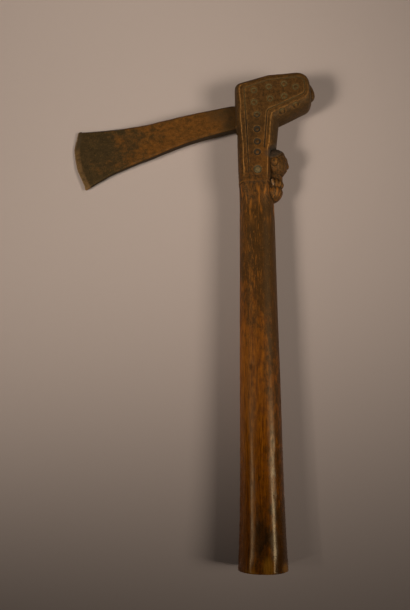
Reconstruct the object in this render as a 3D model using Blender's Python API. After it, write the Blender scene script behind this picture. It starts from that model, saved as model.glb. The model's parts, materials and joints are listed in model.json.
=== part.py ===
"""Carved handle axe.

One length of hardwood carries everything that is carved: a grip, nearly round, that flares at the
butt, a neck and head with a flat panel on both faces, a beak behind the head, and a small bust on
the back of the neck. A forged iron blade sits in the front of the head by its tapered tang.

The pieces are modelled in the axe's own frame: Y runs along the grip from the butt, X from the
cutting edge (-) to the beak (+), and Z across the blade. An empty then lays the axe on the ground,
where it rests on its butt, its head and the corner of its blade. All sizes are in metres.
"""

import math

import bmesh
import bpy
from mathutils import Matrix, Vector

# Grip
GRIP_LENGTH = 0.2995  # from the butt to the lower end of the carved panels
GRIP_SLIM = 0.01385  # half width where the grip meets the neck
GRIP_WIDE = 0.01735  # half width at the butt, before the flare
BUTT_FLARE = 0.0017
FLARE_REACH = 0.0225
GRIP_BOW = 0.0009  # the grip leans this far to the beak's side at the butt
BUTT_CHAMFER = 0.0012
GRIP_DEPTH_SHARE = 0.94  # thickness of the grip against its width
GRIP_FACET = 0.0014  # half width of the flat along both faces of the grip
NECK_EASE = 0.017  # length over which the round grip turns into the panelled neck
LEDGE = 0.0003  # the panelled neck stands this proud of the grip

# Neck and head, with lengths along the handle from the lower end of the panels
HEAD_THICKNESS = 0.0280
NECK_LENGTH = 0.0594  # up to the corner under the beak
NECK_PANEL_FRONT = 0.0081
NECK_PANEL_BACK = 0.0081
CORNER_PANEL_BACK = 0.0113  # panel's edge at the corner under the beak
HEAD_PANEL_FRONT = 0.0122
HEAD_FRONT_RISE = 0.0820  # to the head's front corner
HEAD_CROWN_RISE = 0.0888  # to the top over the neck
NECK_FRONT_BULGE = 0.0065  # how far the rounded sides stand out beyond the panel
SHOULDER_FRONT_BULGE = 0.0052
HEAD_FRONT_BULGE = 0.0052
SOCKET_STEP = 0.0013  # the front stands this proud round the blade
SOCKET_RISE = 0.0480
CROWN_BULGE = 0.0052
NECK_BACK_BULGE = 0.0078
FIGURE_RECESS_BULGE = 0.0034  # the back is cut in behind the bust
FIGURE_RECESS_TOP = 0.0280
RECESS_LEDGE = 0.0030
BEAK_REACH = 0.0425  # axis to the end of the beak's panel
BEAK_TOP_RISE = 0.0904
BEAK_LOW_RISE = 0.0730
BEAK_TIP_ROUND = 0.0075
BEAK_UNDER_BULGE = 0.0086
BEAK_TIP_BULGE = 0.0041
CORNER_ROUND = 0.0030
INNER_ROUND = 0.0018
FLANK_FULLNESS = 0.85  # below 1 the rounded sides are squarer than an ellipse

# Crest on the end of the beak
CREST_LENGTH = 0.0085
CREST_HEIGHT = 0.0024
CREST_HALF_WIDTH = 0.0050
CREST_DROP = 0.0012  # its middle lies this far below the middle of the beak's end
CREST_TEAR = 0.45  # how much fuller its lower end is than its upper one
CREST_MERIDIANS = 14
CREST_PARALLELS = 8

# Carved ornament
BORDER_WIDTH = 0.0013
FRONT_BORDER_STEP = 0.0012  # how much wider the border is along the front of the neck
GROOVE_WIDTH = 0.0010
GROOVE_DEPTH = 0.0007
PIT_RADIUS = 0.0031
PIT_DEPTH = 0.0009
PIT_BOSS_SHARE = 0.36
PIT_BOSS_DROP = 0.0004
STUD_PIT_RADIUS = 0.0037
STUD_RADIUS = 0.0023
STUD_HEIGHT = 0.0009
NECK_PIT_RISES = (0.0569, 0.0442, 0.0335, 0.0245)
NECK_PIT_SHIFT = 0.0012
STUD_RISE = 0.0098
HEAD_PITS = (  # place behind the axis, and rise
    (-0.0010, 0.0781),
    (-0.0010, 0.0676),
    (0.0112, 0.0808),
    (0.0122, 0.0702),
    (0.0236, 0.0828),
    (0.0236, 0.0718),
    (0.0330, 0.0797),
)
BEAK_SIDE_PITS = (0.22, 0.60)  # shares of the way along the beak's underside
BEAK_SIDE_TURN = math.radians(60)  # how far round the underside they sit
LINE_RISES = (0.0033, 0.0048)
LINE_END = 0.0048
LINE_WIDTH = 0.0006
LINE_DEPTH = 0.0005

# Bust on the back of the neck
BUST_HEAD_HEIGHT = 0.0250
BUST_HEAD_REACH = 0.0259  # axis to the furthest point of the face
BUST_HEAD_RISE = 0.0182  # centre of the head
BUST_HEAD_DEPTH = 0.0114
BUST_HEAD_HALF_WIDTH = 0.0122
NECK_STUB_RADIUS = 0.0072
NECK_STUB_DEPTH = 0.0090
NECK_STUB_SETBACK = 0.0022  # behind the middle of the head
NECK_STUB_SIDES = 16
COLLAR_REACH = 0.0223
COLLAR_RISE = 0.0003
COLLAR_HALF_HEIGHT = 0.0056
COLLAR_HALF_WIDTH = 0.0108
COLLAR_GROOVES = 9
BASE_REACH = 0.0212
BASE_RISE = -0.0075
BASE_HALF_HEIGHT = 0.0075
BASE_HALF_WIDTH = 0.0092
BASE_TAPER = 0.17  # how much wider the base is above its middle, and narrower below
FIGURE_DEPTH = 0.0110  # of the collar and the base, into the neck

# Blade and tang, with lengths from the front of the head along the blade
BLADE_LENGTH = 0.1344  # to the chord of the cutting edge
BLADE_RISE = 0.0596  # its middle on the front of the head
BLADE_DROOP = math.radians(13.6)
BLADE_NECK_HALF = 0.0106  # half width where it leaves the head
BLADE_SPREAD = 0.0031
BLADE_FLARE = 0.0116
BLADE_FLARE_POWER = 2.57
BLADE_BOW = 0.0014
BLADE_BOW_LENGTH = 0.075
EDGE_SKEW = math.radians(3.4)
EDGE_SAGITTA = 0.0052
EDGE_FULLNESS = 2.5  # above 2 the edge is straighter in its middle and rounder towards its ends
HEEL_SPREAD = 0.0021  # the lower side's own flare beside the cutting edge
HEEL_LENGTH = 0.0260
TOE_ROUNDING = 0.0040  # radius of the upper corner of the cutting edge
HEEL_ROUNDING = 0.0012
EDGE_HALF_THICKNESS = 0.0004
BEVEL_WIDTH = 0.0052
BEVEL_HALF_THICKNESS = 0.0017
NECK_HALF_THICKNESS = 0.0047
BLADE_ARRIS = 0.0012
ARRIS_COLUMNS = (1.2, 2.4, 3.6)  # lengthwise lines beside each narrow side, in arrises from it
MIDDLE_COLUMN = 0.35  # share of the half width
TANG_LENGTH = 0.0240
TANG_TIP_HALF = 0.0050
TANG_TIP_HALF_THICKNESS = 0.0022
TANG_CLEARANCE = 0.0003
SOCKET_END_CLEARANCE = 0.0010

# Weights that settle how the axe lies
WOOD_DENSITY = 780.0
IRON_DENSITY = 7700.0

# Fineness of the faceted forms
GRIP_SIDE_STEPS = 11
GRIP_STATIONS = 24
FLANK_STEPS = 14
CORNER_STEPS = 5
PIT_SIDES = 12
HEAD_MERIDIANS = 36
HEAD_PARALLELS = 24
FACE_CROWDING = 0.5  # the meridians lie closer together across the face
LOBE_MERIDIANS = 22
LOBE_PARALLELS = 12
BLADE_STATIONS = 16
CUT_MARGIN = 0.0010  # cutters stand this far out of what they cut

SHARP_FROM = math.radians(32)

HEAD_HALF = HEAD_THICKNESS / 2


def clear_scene():
    for thing in list(bpy.data.objects):
        bpy.data.objects.remove(thing, do_unlink=True)


def surface(name, colour, roughness, metallic):
    material = bpy.data.materials.new(name)
    material.use_nodes = True
    shader = material.node_tree.nodes["Principled BSDF"]
    shader.inputs["Base Color"].default_value = (*colour, 1.0)
    shader.inputs["Roughness"].default_value = roughness
    shader.inputs["Metallic"].default_value = metallic
    return material


def smoothstep(value):
    value = min(max(value, 0.0), 1.0)
    return value * value * (3 - 2 * value)


def mix(low, high, share):
    return low + (high - low) * share


def object_from(name, mesh_builder):
    """A new object whose mesh the builder filled, with its faces pointing out."""
    bmesh.ops.recalc_face_normals(mesh_builder, faces=mesh_builder.faces)
    mesh = bpy.data.meshes.new(name)
    mesh_builder.to_mesh(mesh)
    mesh_builder.free()
    thing = bpy.data.objects.new(name, mesh)
    bpy.context.scene.collection.objects.link(thing)
    return thing


def add_loft(builder, rings):
    """A closed body through rings of equally many points, with flat ends."""
    loops = [[builder.verts.new(point) for point in ring] for ring in rings]
    count = len(loops[0])
    for low, high in zip(loops, loops[1:]):
        for k in range(count):
            after = (k + 1) % count
            builder.faces.new((low[k], low[after], high[after], high[k]))
    builder.faces.new(reversed(loops[0]))
    builder.faces.new(loops[-1])


def add_globe(builder, place, meridians, parallels):
    """A closed body whose points place() gives for each longitude and latitude."""
    rows = []
    for j in range(1, parallels):
        latitude = math.pi * (j / parallels - 0.5)
        rows.append(
            [
                builder.verts.new(place(2 * math.pi * k / meridians, latitude))
                for k in range(meridians)
            ]
        )
    bottom = builder.verts.new(place(0.0, -math.pi / 2))
    top = builder.verts.new(place(0.0, math.pi / 2))
    for low, high in zip(rows, rows[1:]):
        for k in range(meridians):
            after = (k + 1) % meridians
            builder.faces.new((low[k], low[after], high[after], high[k]))
    for k in range(meridians):
        after = (k + 1) % meridians
        builder.faces.new((bottom, rows[0][after], rows[0][k]))
        builder.faces.new((top, rows[-1][k], rows[-1][after]))


def rounded(corners):
    """Points round an outline whose corners are (x, y, radius), with radius 0 left sharp."""
    points = []
    count = len(corners)
    for i, (x, y, radius) in enumerate(corners):
        here = Vector((x, y))
        before = (Vector(corners[i - 1][:2]) - here).normalized()
        after = (Vector(corners[(i + 1) % count][:2]) - here).normalized()
        half = before.angle(after) / 2
        if radius == 0:
            points += [here] * (CORNER_STEPS + 1)
            continue
        centre = here + (before + after).normalized() * (radius / math.sin(half))
        start = here + before * (radius / math.tan(half)) - centre
        end = here + after * (radius / math.tan(half)) - centre
        turn = start.angle_signed(end)
        for k in range(CORNER_STEPS + 1):
            angle = -turn * k / CORNER_STEPS
            points.append(centre + Matrix.Rotation(angle, 2) @ start)
    return points


def without_repeats(rings):
    """The rings without the points that a sharp corner repeats in all of them."""
    count = len(rings[0])
    kept = [
        k
        for k in range(count)
        if any((ring[k] - ring[k - 1]).length > 1e-6 for ring in rings)
    ]
    return [[ring[k] for k in kept] for ring in rings]


def grip_half_width(y):
    taper = max(1 - y / GRIP_LENGTH, 0.0)
    flare = BUTT_FLARE * math.exp(-y / FLARE_REACH)
    return mix(GRIP_SLIM, GRIP_WIDE, taper) + flare


def grip_shift(y):
    """How far the middle of the grip lies from the axis."""
    return GRIP_BOW * (1 - smoothstep(y / GRIP_LENGTH))


def grip_ring(y, shrink=0.0):
    """One section of the grip, which turns into the inside of the panelled neck at its top."""
    ease = smoothstep((y - GRIP_LENGTH + NECK_EASE) / NECK_EASE)
    half = grip_half_width(y) - shrink
    flat_front = mix(GRIP_FACET, NECK_PANEL_FRONT - LEDGE, ease)
    flat_back = mix(GRIP_FACET, NECK_PANEL_BACK - LEDGE, ease)
    front = mix(half, NECK_PANEL_FRONT + NECK_FRONT_BULGE - LEDGE, ease)
    back = mix(half, NECK_PANEL_BACK + FIGURE_RECESS_BULGE - LEDGE, ease)
    depth = mix(half * GRIP_DEPTH_SHARE, HEAD_HALF - LEDGE, ease)
    bow = grip_shift(y)
    ring = []
    for side, flat, reach in ((1, flat_back, back), (-1, flat_front, front)):
        for k in range(GRIP_SIDE_STEPS + 1):
            angle = math.pi * (k / GRIP_SIDE_STEPS - 0.5)
            x = side * (flat + (reach - flat) * math.cos(angle))
            ring.append(Vector((x + bow, y, side * depth * math.sin(angle))))
    return ring


def grip_body():
    """The grip from the butt up to a stub inside the head."""
    rings = [grip_ring(0.0, BUTT_CHAMFER)]
    for k in range(GRIP_STATIONS + 1):
        share = k / GRIP_STATIONS
        station = mix(BUTT_CHAMFER, GRIP_LENGTH - NECK_EASE, share**1.25)
        rings.append(grip_ring(station))
    for share in (0.25, 0.5, 0.75, 1.0):
        rings.append(grip_ring(GRIP_LENGTH - NECK_EASE * (1 - share)))
    rings.append(grip_ring(GRIP_LENGTH + NECK_LENGTH / 2))
    builder = bmesh.new()
    add_loft(builder, rings)
    return object_from("handle", builder)


def panel_front(rise):
    """The panel's front edge, which leans out from the neck to the head's corner."""
    return -mix(NECK_PANEL_FRONT, HEAD_PANEL_FRONT, rise / HEAD_FRONT_RISE)


def panel_back(rise):
    """The panel's back edge up the neck."""
    return mix(NECK_PANEL_BACK, CORNER_PANEL_BACK, (rise / NECK_LENGTH) ** 2.2)


def head_corners():
    """The corners of the panel and of the outline at mid thickness, one for one, in pairs."""
    under = Vector((BEAK_REACH - CORNER_PANEL_BACK, BEAK_LOW_RISE - NECK_LENGTH)).normalized()
    under_out = Vector((under.y, -under.x)) * BEAK_UNDER_BULGE
    waist = panel_back(NECK_LENGTH) + NECK_BACK_BULGE
    along = (waist - CORNER_PANEL_BACK - under_out.x) / under.x
    under_corner = Vector((CORNER_PANEL_BACK, NECK_LENGTH)) + under_out + under * along
    shoulder = SOCKET_RISE + SOCKET_STEP
    recess = FIGURE_RECESS_TOP
    ledge = FIGURE_RECESS_TOP + RECESS_LEDGE
    front = [
        (panel_front(rise), rise, 0.0, panel_front(rise) - bulge, rise, 0.0)
        for rise, bulge in (
            (shoulder, SHOULDER_FRONT_BULGE + SOCKET_STEP),
            (SOCKET_RISE, SHOULDER_FRONT_BULGE),
            (0.0, NECK_FRONT_BULGE),
        )
    ]
    back = [
        (panel_back(rise), rise, 0.0, panel_back(rise) + bulge, rise, 0.0)
        for rise, bulge in (
            (0.0, FIGURE_RECESS_BULGE),
            (recess, FIGURE_RECESS_BULGE),
            (ledge, NECK_BACK_BULGE),
        )
    ]
    top = [
        (
            CORNER_PANEL_BACK,
            NECK_LENGTH,
            INNER_ROUND,
            under_corner.x,
            under_corner.y,
            INNER_ROUND,
        ),
        (
            BEAK_REACH,
            BEAK_LOW_RISE,
            BEAK_TIP_ROUND * 0.8,
            BEAK_REACH + BEAK_TIP_BULGE,
            BEAK_LOW_RISE - BEAK_UNDER_BULGE * 0.72,
            BEAK_TIP_ROUND,
        ),
        (
            BEAK_REACH - 0.0005,
            BEAK_TOP_RISE,
            BEAK_TIP_ROUND,
            BEAK_REACH + BEAK_TIP_BULGE - 0.0020,
            BEAK_TOP_RISE + CROWN_BULGE,
            BEAK_TIP_ROUND * 1.5,
        ),
        (
            CORNER_PANEL_BACK,
            HEAD_CROWN_RISE,
            0.0,
            CORNER_PANEL_BACK,
            HEAD_CROWN_RISE + CROWN_BULGE,
            0.0,
        ),
        (
            -HEAD_PANEL_FRONT,
            HEAD_FRONT_RISE,
            CORNER_ROUND,
            -HEAD_PANEL_FRONT - HEAD_FRONT_BULGE,
            HEAD_FRONT_RISE + CROWN_BULGE,
            CORNER_ROUND * 1.6,
        ),
    ]
    return back + top + front


def head_body():
    """The panelled neck and head with the beak: two flat panels and rounded sides between."""
    corners = head_corners()
    panel = rounded([(x, GRIP_LENGTH + y, r) for x, y, r, _, _, _ in corners])
    middle = rounded([(x, GRIP_LENGTH + y, r) for _, _, _, x, y, r in corners])
    rings = []
    for k in range(FLANK_STEPS + 1):
        angle = math.pi * (k / FLANK_STEPS - 0.5)
        out = math.cos(angle) ** FLANK_FULLNESS if 0 < k < FLANK_STEPS else 0.0
        height = HEAD_HALF * math.copysign(abs(math.sin(angle)) ** FLANK_FULLNESS, angle)
        rings.append([Vector((*a.lerp(b, out), height)) for a, b in zip(panel, middle)])
    builder = bmesh.new()
    add_loft(builder, without_repeats(rings))
    return object_from("head_block", builder)


def crest_body():
    """The short raised rib over the end of the beak."""
    rise = GRIP_LENGTH + (BEAK_LOW_RISE + BEAK_TOP_RISE) / 2 - CREST_DROP
    centre = Vector((BEAK_REACH + BEAK_TIP_BULGE - CREST_HEIGHT, rise, 0.0))

    def place(longitude, latitude):
        level = math.cos(latitude) * (1 - CREST_TEAR * math.sin(latitude))
        return centre + Vector(
            (
                2 * CREST_HEIGHT * level * math.cos(longitude),
                CREST_LENGTH * math.sin(latitude),
                CREST_HALF_WIDTH * level * math.sin(longitude),
            )
        )

    builder = bmesh.new()
    add_globe(builder, place, CREST_MERIDIANS, CREST_PARALLELS)
    return object_from("beak_crest", builder)


def bump(longitude, latitude, centre, size):
    """1 at a feature's centre, easing to 0 around it; angles and sizes in degrees."""
    across = (abs(math.degrees(longitude)) - centre[0]) / size[0]
    along = (math.degrees(latitude) - centre[1]) / size[1]
    return math.exp(-(across * across) - along * along)


def face_relief(longitude, latitude):
    """How far the carving stands out from the plain egg of the head, as a share of its radius."""
    side = abs(math.degrees(longitude))
    rise = math.degrees(latitude)
    relief = -0.090 * bump(longitude, latitude, (24, 5), (17, 11))
    relief += 0.070 * bump(longitude, latitude, (22, 5), (9, 5))
    relief += 0.050 * bump(longitude, latitude, (15, 19 - (side / 18) ** 2), (24, 5))
    nose = (0.35 + 0.65 * smoothstep((16 - rise) / 30)) * smoothstep((rise + 20) / 6)
    nose *= smoothstep((26 - rise) / 8)
    relief += 0.15 * nose * math.exp(-((side / (6 + 5 * nose)) ** 2))
    relief += 0.075 * bump(longitude, latitude, (0, -31), (15, 6))
    relief += 0.060 * bump(longitude, latitude, (0, -54), (26, 10))
    relief += 0.080 * bump(longitude, latitude, (82, -2), (10, 15))
    hairline = 38 - 30 * smoothstep((side - 30) / 60)
    cap = smoothstep((rise - hairline) / 5 + 0.5)
    rim = math.exp(-(((rise - hairline - 4) / 5) ** 2))
    return relief * (1 - cap) + 0.045 * cap + 0.025 * rim


def bust_head():
    """The bust's head under a close cap, looking out from the back of the neck."""
    centre = Vector((BUST_HEAD_REACH - BUST_HEAD_DEPTH, GRIP_LENGTH + BUST_HEAD_RISE, 0.0))

    def place(longitude, latitude):
        turned = longitude if longitude <= math.pi else longitude - 2 * math.pi
        turned -= FACE_CROWDING * math.sin(turned)
        swell = 0.95 * (1 + face_relief(turned, latitude))
        level = math.cos(latitude) ** 0.85 if abs(latitude) < 1.57 else 0.0
        return centre + swell * Vector(
            (
                BUST_HEAD_DEPTH * level * math.cos(turned),
                BUST_HEAD_HEIGHT / 2 * math.sin(latitude),
                BUST_HEAD_HALF_WIDTH * level * math.sin(turned),
            )
        )

    builder = bmesh.new()
    add_globe(builder, place, HEAD_MERIDIANS, HEAD_PARALLELS)
    return object_from("bust_head", builder)


def lobe(name, reach, rise, half_height, half_width, groove_depth, taper):
    """A rounded lobe of the bust, with upright grooves round it where groove_depth isn't 0."""
    centre = Vector((reach - FIGURE_DEPTH, GRIP_LENGTH + rise, 0.0))

    def place(longitude, latitude):
        level = math.cos(latitude) ** 0.8 if abs(latitude) < 1.57 else 0.0
        wave = 0.5 - 0.5 * math.cos(longitude * 2 * COLLAR_GROOVES)
        level *= (1 - groove_depth * wave) * (1 + taper * math.sin(latitude))
        return centre + Vector(
            (
                FIGURE_DEPTH * level * math.cos(longitude),
                half_height * math.sin(latitude),
                half_width * level * math.sin(longitude),
            )
        )

    builder = bmesh.new()
    meridians = COLLAR_GROOVES * 4 if groove_depth else LOBE_MERIDIANS
    add_globe(builder, place, meridians, LOBE_PARALLELS)
    return object_from(name, builder)


def bust_neck():
    """The short neck between the bust's head and its collar."""
    x = BUST_HEAD_REACH - BUST_HEAD_DEPTH - NECK_STUB_SETBACK
    rings = []
    for rise in (COLLAR_RISE, BUST_HEAD_RISE):
        ring = []
        for k in range(NECK_STUB_SIDES):
            angle = 2 * math.pi * k / NECK_STUB_SIDES
            out = x + NECK_STUB_DEPTH * math.cos(angle)
            ring.append(Vector((out, GRIP_LENGTH + rise, NECK_STUB_RADIUS * math.sin(angle))))
        rings.append(ring)
    builder = bmesh.new()
    add_loft(builder, rings)
    return object_from("bust_neck", builder)


def add_turned(builder, profile, origin, normal, sides):
    """A closed turned body from (radius, height) pairs, whose first and last lie on its axis."""
    turn = Vector((0, 0, 1)).rotation_difference(normal).to_matrix()
    rings = []
    for radius, height in profile[1:-1]:
        ring = []
        for k in range(sides):
            angle = 2 * math.pi * k / sides
            local = Vector((radius * math.cos(angle), radius * math.sin(angle), height))
            ring.append(builder.verts.new(origin + turn @ local))
        rings.append(ring)
    first = builder.verts.new(origin + turn @ Vector((0, 0, profile[0][1])))
    last = builder.verts.new(origin + turn @ Vector((0, 0, profile[-1][1])))
    for low, high in zip(rings, rings[1:]):
        for k in range(sides):
            after = (k + 1) % sides
            builder.faces.new((low[k], low[after], high[after], high[k]))
    for k in range(sides):
        after = (k + 1) % sides
        builder.faces.new((first, rings[0][after], rings[0][k]))
        builder.faces.new((last, rings[-1][k], rings[-1][after]))


def pit_profile(radius, boss_drop):
    """What a pit takes out: a dish with a round boss left standing in its middle."""
    boss = radius * PIT_BOSS_SHARE
    return (
        (0.0, CUT_MARGIN),
        (radius + CUT_MARGIN / 2, CUT_MARGIN),
        (radius * 0.82, -PIT_DEPTH),
        (boss * 1.3, -PIT_DEPTH),
        (boss, -boss_drop),
        (0.0, -boss_drop * 0.7),
    )


def beak_side_places():
    """Middle and outward direction of each pit on the beak's underside."""
    corners = head_corners()
    inner, tip = corners[3], corners[4]
    out = math.cos(BEAK_SIDE_TURN) ** FLANK_FULLNESS
    height = HEAD_HALF * math.sin(BEAK_SIDE_TURN) ** FLANK_FULLNESS
    under = Vector((tip[0] - inner[0], tip[1] - inner[1], 0.0)).normalized()
    places = []
    for share in BEAK_SIDE_PITS:
        edge = Vector(
            (mix(inner[0], tip[0], share), mix(inner[1], tip[1], share), HEAD_HALF)
        )
        low = Vector(
            (mix(inner[3], tip[3], share), mix(inner[4], tip[4], share), HEAD_HALF)
        )
        middle = edge.lerp(low, out)
        middle.z = height
        outward = Vector((under.y, -under.x, math.tan(BEAK_SIDE_TURN) * 0.85)).normalized()
        middle.y += GRIP_LENGTH
        places.append((middle, outward))
    return places


def panel_pit_places():
    for rise in NECK_PIT_RISES:
        yield NECK_PIT_SHIFT, GRIP_LENGTH + rise
    for x, rise in HEAD_PITS:
        yield x, GRIP_LENGTH + rise


def pit_cutter():
    """All the ring-and-dot pits: on both panels and on both sides of the beak's underside."""
    builder = bmesh.new()
    small = pit_profile(PIT_RADIUS, PIT_BOSS_DROP)
    large = pit_profile(STUD_PIT_RADIUS, PIT_BOSS_DROP)
    for face in (1, -1):
        normal = Vector((0, 0, face))
        for x, y in panel_pit_places():
            add_turned(builder, small, Vector((x, y, face * HEAD_HALF)), normal, PIT_SIDES)
        stud = Vector((NECK_PIT_SHIFT, GRIP_LENGTH + STUD_RISE, face * HEAD_HALF))
        add_turned(builder, large, stud, normal, PIT_SIDES)
        for middle, outward in beak_side_places():
            place = Vector((middle.x, middle.y, face * middle.z))
            direction = Vector((outward.x, outward.y, face * outward.z))
            add_turned(builder, small, place, direction, PIT_SIDES)
    return object_from("cut_pits", builder)


def stud_bodies():
    """The domed stud that is left standing in the lowest pit of each panel."""
    builder = bmesh.new()
    profile = (
        (0.0, -PIT_DEPTH - CUT_MARGIN),
        (STUD_RADIUS, -PIT_DEPTH - CUT_MARGIN),
        (STUD_RADIUS, -PIT_DEPTH * 0.4),
        (STUD_RADIUS * 0.72, STUD_HEIGHT * 0.62),
        (0.0, STUD_HEIGHT),
    )
    for face in (1, -1):
        middle = Vector((NECK_PIT_SHIFT, GRIP_LENGTH + STUD_RISE, face * HEAD_HALF))
        add_turned(builder, profile, middle, Vector((0, 0, face)), PIT_SIDES)
    return object_from("studs", builder)


def inset(corners, distance):
    """The corners of an outline moved inwards by a distance."""
    moved = []
    count = len(corners)
    for i, (x, y, radius) in enumerate(corners):
        here = Vector((x, y))
        before = (here - Vector(corners[i - 1][:2])).normalized()
        after = (Vector(corners[(i + 1) % count][:2]) - here).normalized()
        inward = (Vector((-before.y, before.x)) + Vector((-after.y, after.x))).normalized()
        half = math.cos(before.angle(after) / 2)
        convex = before.x * after.y - before.y * after.x > 0
        turn = max(radius - distance, 0.0008) if convex else radius + distance
        moved.append((*(here + inward * (distance / half)), turn if radius else 0.0))
    return moved


def front_share(x):
    """1 beside the front of the neck and head, easing to 0 before their middle."""
    return smoothstep((-x - 0.004) / 0.004)


def border_cutter():
    """The groove inside the panel's edge, open at the back of the neck beside the bust."""
    panel = [(x, GRIP_LENGTH + y, r) for x, y, r, _, _, _ in head_corners()]
    sides = []
    for distance in (BORDER_WIDTH, BORDER_WIDTH + GROOVE_WIDTH):
        line = rounded(inset(panel, distance))
        line = [p for k, p in enumerate(line) if (p - line[k - 1]).length > 1e-6]
        line = [Vector((p.x + FRONT_BORDER_STEP * front_share(p.x), p.y)) for p in line]
        start = GRIP_LENGTH + FIGURE_RECESS_TOP
        sides.append([p for p in line if p.x < 0 or p.y > start])
    outline = sides[0] + sides[1][::-1]
    builder = bmesh.new()
    for face in (1, -1):
        levels = (face * (HEAD_HALF - GROOVE_DEPTH), face * (HEAD_HALF + CUT_MARGIN))
        add_loft(builder, [[Vector((*p, z)) for p in outline] for z in levels])
    return object_from("cut_border", builder)


def line_cutter():
    """The short lines cut across the lower end of each panel."""
    builder = bmesh.new()
    for face in (1, -1):
        for rise in LINE_RISES:
            start = panel_front(rise) + BORDER_WIDTH + FRONT_BORDER_STEP + 2 * GROOVE_WIDTH
            rings = []
            for level, half in ((LINE_DEPTH, 0.25), (-CUT_MARGIN, 1.0)):
                z = face * (HEAD_HALF - level)
                low = GRIP_LENGTH + rise - LINE_WIDTH * half
                high = GRIP_LENGTH + rise + LINE_WIDTH * half
                rings.append(
                    [
                        Vector((start, low, z)),
                        Vector((LINE_END, low, z)),
                        Vector((LINE_END, high, z)),
                        Vector((start, high, z)),
                    ]
                )
            add_loft(builder, rings)
    return object_from("cut_lines", builder)


def blade_frame():
    """Start of the blade on the front of the head, its direction, and the way across it."""
    front = panel_front(BLADE_RISE) - SHOULDER_FRONT_BULGE - SOCKET_STEP
    start = Vector((front, GRIP_LENGTH + BLADE_RISE, 0.0))
    along = Vector((-math.cos(BLADE_DROOP), -math.sin(BLADE_DROOP), 0.0))
    across = Vector((-math.sin(BLADE_DROOP), math.cos(BLADE_DROOP), 0.0))
    return start, along, across


def blade_half_width(s):
    if s < 0:
        return mix(BLADE_NECK_HALF, TANG_TIP_HALF, -s / TANG_LENGTH)
    share = s / BLADE_LENGTH
    return BLADE_NECK_HALF + BLADE_SPREAD * share + BLADE_FLARE * share**BLADE_FLARE_POWER


def blade_half_thickness(s):
    if s < 0:
        return mix(NECK_HALF_THICKNESS, TANG_TIP_HALF_THICKNESS, -s / TANG_LENGTH)
    share = min(s / (BLADE_LENGTH - BEVEL_WIDTH), 1.0)
    return mix(NECK_HALF_THICKNESS, BEVEL_HALF_THICKNESS, share**1.3)


def corner_cut(radius, inset):
    """How far a rounded corner falls back at a distance in from the side."""
    if inset >= radius:
        return 0.0
    return radius - math.sqrt(radius**2 - (radius - inset) ** 2)


def blade_ring(s, grow=0.0, bevel=0.0):
    """A section of the blade; bevel goes from 0 at the bevel's back to 1 at the cutting edge."""
    start, along, across = blade_frame()
    half = blade_half_width(s) + grow
    heel = HEEL_SPREAD * smoothstep(1 - (BLADE_LENGTH - s) / HEEL_LENGTH)
    thick = mix(blade_half_thickness(s), EDGE_HALF_THICKNESS, bevel) + grow
    arris = min(BLADE_ARRIS, thick * 0.5, half * 0.16)
    bow = BLADE_BOW * math.sin(math.pi * s / BLADE_BOW_LENGTH) if 0 < s < BLADE_BOW_LENGTH else 0.0
    curve = smoothstep(1 - (BLADE_LENGTH - s) / (BLADE_LENGTH * 0.35))
    insets = [0.0] + [arris * k for k in ARRIS_COLUMNS]
    points = []
    for side in (1, -1):
        upper = [half - inset for inset in insets] + [half * MIDDLE_COLUMN, 0.0]
        lower = [-half - heel + inset for inset in insets] + [-half * MIDDLE_COLUMN]
        row = lower + upper[::-1]
        if side < 0:
            row.reverse()
        for offset in row:
            outermost = offset in (row[0], row[-1])
            z = side * (thick - arris) if outermost else side * thick
            w = offset / half if offset > 0 else offset / (half + heel)
            edge = EDGE_SAGITTA * (1 - abs(w) ** EDGE_FULLNESS) - math.tan(EDGE_SKEW) * offset
            if offset > 0:
                edge -= bevel * corner_cut(TOE_ROUNDING, half - offset)
            else:
                edge -= bevel * corner_cut(HEEL_ROUNDING, half + heel + offset)
            reach = s + curve * edge
            points.append(start + along * reach + across * (offset + bow) + Vector((0, 0, z)))
    return points


def blade_body():
    rings = [blade_ring(-TANG_LENGTH), blade_ring(-TANG_LENGTH / 2)]
    back = BLADE_LENGTH - BEVEL_WIDTH
    for k in range(BLADE_STATIONS + 1):
        rings.append(blade_ring(back * k / BLADE_STATIONS))
    rings.append(blade_ring(BLADE_LENGTH, bevel=1.0))
    builder = bmesh.new()
    add_loft(builder, rings)
    return object_from("blade", builder)


def socket_cutter():
    """The mortise that the tang fills, cut in from the front of the head."""
    start, along, across = blade_frame()
    deep = blade_ring(-TANG_LENGTH, TANG_CLEARANCE)
    deep = [point - along * SOCKET_END_CLEARANCE for point in deep]
    rings = [deep]
    for s in (-TANG_LENGTH * 0.99, -TANG_LENGTH / 2, 0.0):
        rings.append(blade_ring(s, TANG_CLEARANCE))
    rings.append([point + along * 3 * CUT_MARGIN for point in rings[-1]])
    builder = bmesh.new()
    add_loft(builder, rings)
    return object_from("cut_socket", builder)


def combine(target, tool, operation):
    """A Boolean left on the target; its tool is kept in the scene as a wire guide."""
    shade(tool)
    modifier = target.modifiers.new(tool.name, "BOOLEAN")
    modifier.object = tool
    modifier.operation = operation
    modifier.solver = "EXACT"
    tool.hide_render = True
    tool.display_type = "WIRE"
    tool.parent = target


def shade(thing):
    """Smooth shading, with the edges of the carving kept crisp."""
    thing.data.shade_smooth()
    thing.data.set_sharp_from_angle(angle=SHARP_FROM)


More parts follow.
